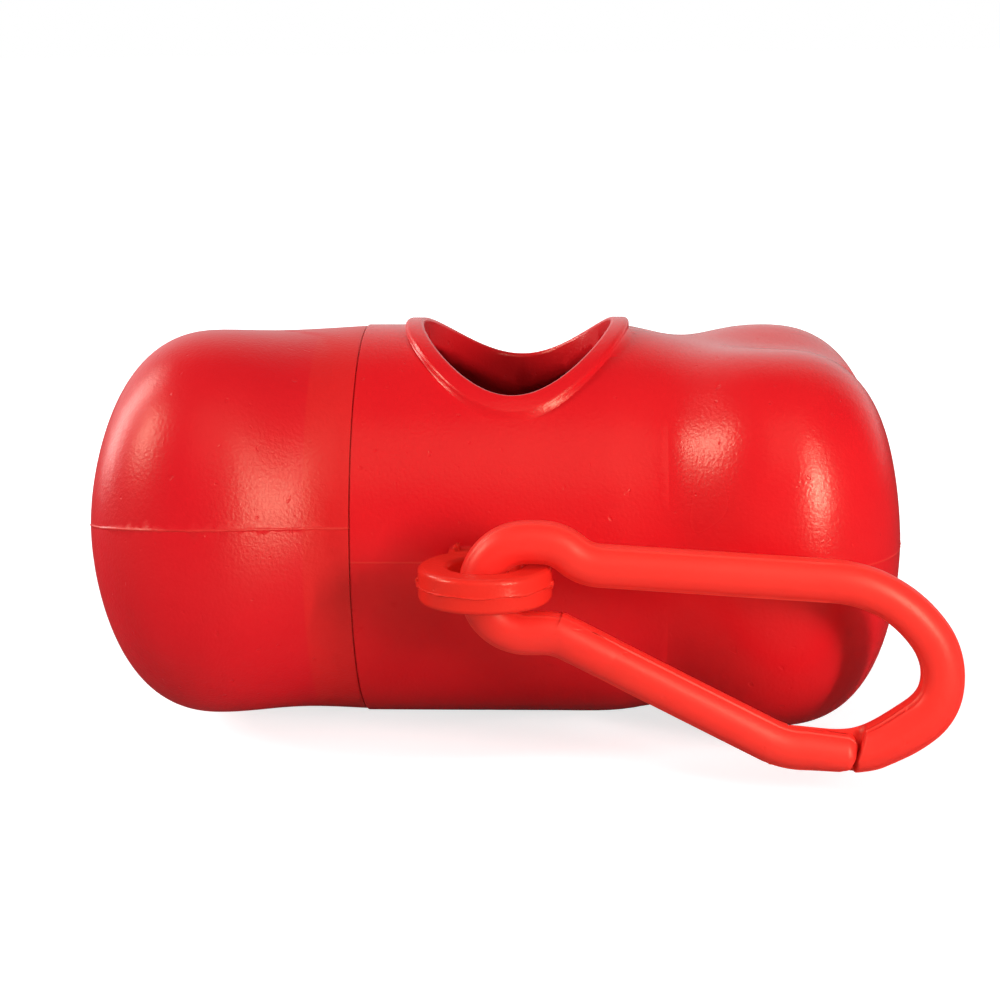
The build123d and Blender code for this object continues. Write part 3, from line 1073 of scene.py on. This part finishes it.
@dataclass
class BagRoll:
    """The refill: wound bags on their core, with the first bag's free end."""

    middle: Vector
    radius: float = 13.3 * MM
    bore: float = 6.8 * MM
    length: float = 57.0 * MM
    end_layers: int = 16
    end_step: float = 0.28 * MM
    tail_angle: float = math.radians(74.0)
    tail_length: float = 11.0 * MM
    tail_lift: float = 0.9 * MM

    def build(
        self, nodes: dict[str, bpy.types.Object], film: bpy.types.Material, board: bpy.types.Material
    ) -> None:
        """Make and dress the refill's pieces.

        Args:
            nodes: The CAD nodes by name.
            film: The bags' material.
            board: The core's material.
        """
        bags = self.build_winding()
        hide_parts("bag_roll")
        dress(bags, film, "bag_roll")
        dress(self.build_tail(), film, "bag_roll")
        core = even_shading(new_piece("board_core", joined_mesh(nodes["roll_core"]), 32.0))
        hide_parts("roll_core")
        dress(core, board, "roll_core")

    def end_profile(self, side: float) -> list[Vector]:
        """Step the layers of one end in and out a little.

        Args:
            side: 1 for the +X end, -1 for the other.

        Returns:
            The profile's points, from the rim to the bore.
        """
        pitch = (self.radius - self.bore) / self.end_layers
        points = []
        for layer in range(self.end_layers):
            step = self.end_step * (0.5 + noise.noise(Vector((layer * 1.9, side * 5.0, 0.0))))
            x = side * (self.length / 2.0 - max(step, 0.02 * MM))
            outside = self.radius - layer * pitch
            points.append(Vector((x, 0.0, outside - 0.06 * MM)))
            points.append(Vector((x, 0.0, outside - pitch)))
        return points

    def build_winding(self) -> bpy.types.Object:
        """Spin the layered profile round the core.

        Returns:
            The wound bags.
        """
        mesh = bmesh.new()
        rim = [Vector((-self.length / 2.0 + 0.7 * MM, 0.0, self.radius))]
        across = 40
        for step in range(1, across):
            x = (step / across - 0.5) * (self.length - 1.4 * MM)
            rim.append(Vector((x, 0.0, self.radius)))
        outline = rim + self.end_profile(1.0) + list(reversed(self.end_profile(-1.0)))
        verts = [mesh.verts.new(self.middle + point) for point in outline]
        edges = [mesh.edges.new((a, b)) for a, b in zip(verts, verts[1:] + verts[:1])]
        bmesh.ops.spin(
            mesh, geom=[*verts, *edges], cent=self.middle, axis=(1.0, 0.0, 0.0),
            angle=2.0 * math.pi, steps=120, use_merge=True, use_duplicate=False,
        )
        bmesh.ops.remove_doubles(mesh, verts=mesh.verts, dist=0.0005 * MM)
        for vert in mesh.verts:
            self.slacken(vert)
        return new_piece("wound_bags", mesh, 40.0)

    def slacken(self, vert: bmesh.types.BMVert) -> None:
        """Let the outer turns of film lie a little loose.

        Args:
            vert: A vertex of the winding.
        """
        out = vert.co - self.middle
        x = out.x
        out.x = 0.0
        depth = self.radius - out.length
        if depth < 1.0 * MM:
            turn = math.atan2(out.z, out.y)
            place = Vector((x * 55.0, math.cos(turn) * 2.2, math.sin(turn) * 2.2))
            slack = 0.16 * MM * noise.noise(place) - 0.14 * MM
            vert.co += out.normalized() * slack * (1.0 - depth / MM)

    def build_tail(self) -> bpy.types.Object:
        """Lay the first bag's free end over the roll, a little lifted.

        Returns:
            The tail, with the film's own thickness.
        """
        mesh = bmesh.new()
        bmesh.ops.create_grid(mesh, x_segments=48, y_segments=16, size=0.5)
        width = self.length - 3.0 * MM
        for vert in mesh.verts:
            share = vert.co.y + 0.5
            x = vert.co.x * width
            lift = self.tail_lift * share**2.2
            crease = 0.22 * MM * share * noise.noise(Vector((x * 190.0, share * 2.0, 0.0)))
            reach = self.radius + 0.04 * MM + lift + crease
            turn = self.tail_angle + share * self.tail_length / self.radius
            vert.co = self.middle + Vector((x, -math.cos(turn) * reach, math.sin(turn) * reach))
        tail = new_piece("bag_tail", mesh, 60.0)
        film = tail.modifiers.new("film", "SOLIDIFY")
        film.thickness = 0.08 * MM
        return tail


# ------------------------------------------------------------------ studio
@dataclass(frozen=True)
class SoftBox:
    """One rectangular studio lamp aimed at the part."""

    name: str
    azimuth: float
    elevation: float
    distance: float
    size: tuple[float, float]
    watts: float

    def build(self, aim: Vector) -> None:
        """Put the lamp in the scene.

        Args:
            aim: The point that it faces, which its two angles are counted from.
        """
        azimuth, elevation = math.radians(self.azimuth), math.radians(self.elevation)
        level = math.cos(elevation)
        away = Vector((math.sin(azimuth) * level, -math.cos(azimuth) * level, math.sin(elevation)))
        data = bpy.data.lights.new(self.name, "AREA")
        data.shape = "RECTANGLE"
        data.size, data.size_y = self.size
        data.energy = self.watts
        lamp = bpy.data.objects.new(self.name, data)
        turn = (-away).to_track_quat("-Z", "Y")
        lamp.matrix_world = Matrix.LocRotScale(aim + away * self.distance, turn, None)
        bpy.context.scene.collection.objects.link(lamp)


@dataclass
class Studio:
    """Pale floor, white surroundings, soft lamps and the photograph's camera."""

    lamps: tuple[SoftBox, ...]
    camera_place: Vector
    camera_aim: Vector
    camera_roll: float
    lens: float
    floor_size: float = 12.0
    floor_pale: float = 0.62
    lift_near: float = 0.74
    lift_far: float = 1.0
    gloss_lift: float = 0.03
    near: float = 0.04
    far: float = 0.2
    air: float = 0.22
    dark_side: float = 0.03
    white_side: float = 0.9

    def build(self) -> None:
        """Build everything that isn't part of the object."""
        self.build_floor()
        self.build_world()
        for lamp in self.lamps:
            lamp.build(BARREL_MIDDLE)
        self.build_camera()
        bpy.context.scene.view_settings.view_transform = "Standard"

    def build_floor(self) -> None:
        """Lay the floor that the dispenser lies on, white to the eye away from its shadow."""
        mesh = bmesh.new()
        bmesh.ops.create_grid(mesh, x_segments=1, y_segments=1, size=self.floor_size / 2.0)
        bmesh.ops.translate(mesh, verts=mesh.verts, vec=(0.0, 0.0, -0.02 * MM))
        floor = new_piece("floor", mesh)
        work = MaterialBuilder("studio_floor")
        pale = (self.floor_pale, self.floor_pale, self.floor_pale, 1.0)
        work.shader.inputs["Base Color"].default_value = pale
        work.shader.inputs["Roughness"].default_value = 0.9
        work.shader.inputs["Specular IOR Level"].default_value = 0.0
        work.shader.inputs["Emission Color"].default_value = (1.0, 1.0, 1.0, 1.0)
        gloss = seen_rays(work.nodes, work.links, ("Is Glossy Ray",))
        dark = (0.05, 0.05, 0.05)
        shade = work.blend(gloss, pale[:3], dark)
        work.links.new(shade, work.shader.inputs["Base Color"])
        place = work.object_place(BARREL_MIDDLE, (0.0, 0.0, 0.0))
        length = work.nodes.new("ShaderNodeVectorMath")
        length.operation = "LENGTH"
        work.links.new(place, length.inputs[0])
        lift = work.nodes.new("ShaderNodeMapRange")
        lift.interpolation_type = "SMOOTHSTEP"
        for name, value in (
            ("From Min", self.near), ("From Max", self.far),
            ("To Min", self.lift_near), ("To Max", self.lift_far),
        ):
            lift.inputs[name].default_value = value
        work.links.new(length.outputs["Value"], lift.inputs["Value"])
        seen = seen_rays(work.nodes, work.links, ("Is Camera Ray", "Is Transmission Ray"))
        seen = mixed_number(work.nodes, work.links, gloss, seen, self.gloss_lift)
        shown = work.nodes.new("ShaderNodeMath")
        shown.operation = "MULTIPLY"
        work.links.new(lift.outputs["Result"], shown.inputs[0])
        work.links.new(seen, shown.inputs[1])
        work.links.new(shown.outputs["Value"], work.shader.inputs["Emission Strength"])
        floor.data.materials.append(work.material)

    def build_world(self) -> None:
        """Make the surroundings white to the eye, white behind the part to its gloss."""
        world = bpy.data.worlds.new("studio_air")
        bpy.context.scene.world = world
        world.use_nodes = True
        nodes, links = world.node_tree.nodes, world.node_tree.links
        way = nodes.new("ShaderNodeTexCoord")
        parts = nodes.new("ShaderNodeSeparateXYZ")
        links.new(way.outputs["Generated"], parts.inputs[0])
        room = nodes.new("ShaderNodeMapRange")
        room.interpolation_type = "SMOOTHSTEP"
        for name, value in (
            ("From Min", 0.3), ("From Max", 0.95),
            ("To Min", self.dark_side), ("To Max", self.white_side),
        ):
            room.inputs[name].default_value = value
        links.new(parts.outputs["Y"], room.inputs["Value"])
        gloss = seen_rays(nodes, links, ("Is Glossy Ray",))
        glossy = mixed_number(nodes, links, gloss, self.air, room.outputs["Result"])
        seen = seen_rays(nodes, links, ("Is Camera Ray", "Is Transmission Ray"))
        strength = mixed_number(nodes, links, seen, glossy, 1.0)
        links.new(strength, nodes["Background"].inputs["Strength"])
        nodes["Background"].inputs["Color"].default_value = (1.0, 1.0, 1.0, 1.0)

    def build_camera(self) -> None:
        """Stand the camera where the photograph was taken from."""
        data = bpy.data.cameras.new("photo_camera")
        data.lens = self.lens
        data.sensor_width = 36.0
        data.clip_start = 0.01
        camera = bpy.data.objects.new("photo_camera", data)
        turn = (self.camera_aim - self.camera_place).to_track_quat("-Z", "Y")
        roll = Matrix.Rotation(self.camera_roll, 4, "Z")
        camera.matrix_world = Matrix.LocRotScale(self.camera_place, turn, None) @ roll
        bpy.context.scene.collection.objects.link(camera)
        bpy.context.scene.camera = camera


def seen_rays(nodes: bpy.types.Nodes, links: bpy.types.NodeLinks, kinds: tuple[str, ...]) -> Socket:
    """Tell whether a ray is of one of some kinds.

    Args:
        nodes: The tree's nodes.
        links: The tree's links.
        kinds: Outputs of the Light Path node.

    Returns:
        1 for such a ray, 0 for any other.
    """
    path = nodes.new("ShaderNodeLightPath")
    found = path.outputs[kinds[0]]
    for kind in kinds[1:]:
        either = nodes.new("ShaderNodeMath")
        either.operation = "MAXIMUM"
        links.new(found, either.inputs[0])
        links.new(path.outputs[kind], either.inputs[1])
        found = either.outputs["Value"]
    return found


def mixed_number(
    nodes: bpy.types.Nodes, links: bpy.types.NodeLinks, share: Socket,
    first: Socket | float, second: Socket | float,
) -> Socket:
    """Mix two numbers.

    Args:
        nodes: The tree's nodes.
        links: The tree's links.
        share: 0 for the first, 1 for the second.
        first: A number or a socket.
        second: A number or a socket.

    Returns:
        The mixed number.
    """
    node = nodes.new("ShaderNodeMapRange")
    links.new(share, node.inputs["Value"])
    for name, value in (("To Min", first), ("To Max", second)):
        if isinstance(value, bpy.types.NodeSocket):
            links.new(value, node.inputs[name])
        else:
            node.inputs[name].default_value = value
    return node.outputs["Result"]


STUDIO_LAMPS = (
    SoftBox("strip_right", 40.0, 18.0, 0.7, (0.06, 0.6), 2.0),
    SoftBox("glint_right", 41.0, 13.0, 0.26, (0.006, 0.07), 0.25),
    SoftBox("window_left", -76.0, 31.0, 0.7, (0.1, 0.26), 2.3),
    SoftBox("edge_left", -116.0, 23.0, 0.7, (0.14, 0.5), 2.6),
    SoftBox("soft_front", 12.0, 48.0, 1.0, (0.8, 0.7), 1.3),
)


def main() -> None:
    """Build the dressed part and its studio."""
    logging.basicConfig(level=logging.INFO, format="%(message)s")
    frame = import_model()
    effects = EffectGroups(grain_group(), seam_group(), handling_group())
    nodes = frame["nodes"]
    neck_thread = ScrewThread("neck_thread", 17.7 * MM, 18.25 * MM, -22.0 * MM, -16.4 * MM)
    cap_thread = ScrewThread("cap_thread", 18.7 * MM, 18.15 * MM, -20.75 * MM, -15.9 * MM)
    barrel_line = PartingLine(SeamPlane.LEVEL, BARREL_MIDDLE, 0.03 * MM, 0.12 * MM)
    cap_line = PartingLine(SeamPlane.CAP, BARREL_MIDDLE, 0.08 * MM, 0.12 * MM)
    clip_line = PartingLine(
        SeamPlane.UPRIGHT, Vector((0.0, CLIP_SEAM_Y, 0.0)), 0.1 * MM, 0.14 * MM
    )
    Barrel(neck_thread, barrel_line, RingFlash()).build(nodes, BARREL_PLASTIC.build(effects))
    ScrewCap(cap_thread, cap_line).build(nodes, CAP_PLASTIC.build(effects))
    SnapClip(clip_line).build(nodes, CLIP_PLASTIC.build(effects))
    roll_middle = BARREL_MIDDLE - Vector((0.0, 0.0, 2.0 * MM))
    film = BAG_FILM.build(effects, roll_middle)
    BagRoll(roll_middle).build(nodes, film, CORE_BOARD.build(effects, roll_middle))
    studio = Studio(
        lamps=STUDIO_LAMPS,
        camera_place=Vector((8.918, -217.564, 70.416)) * MM,
        camera_aim=Vector((-1.97, 4.83, 22.31)) * MM,
        camera_roll=math.radians(-0.583),
        lens=78.59,
    )
    studio.build()


if __name__ == "__main__":
    main()
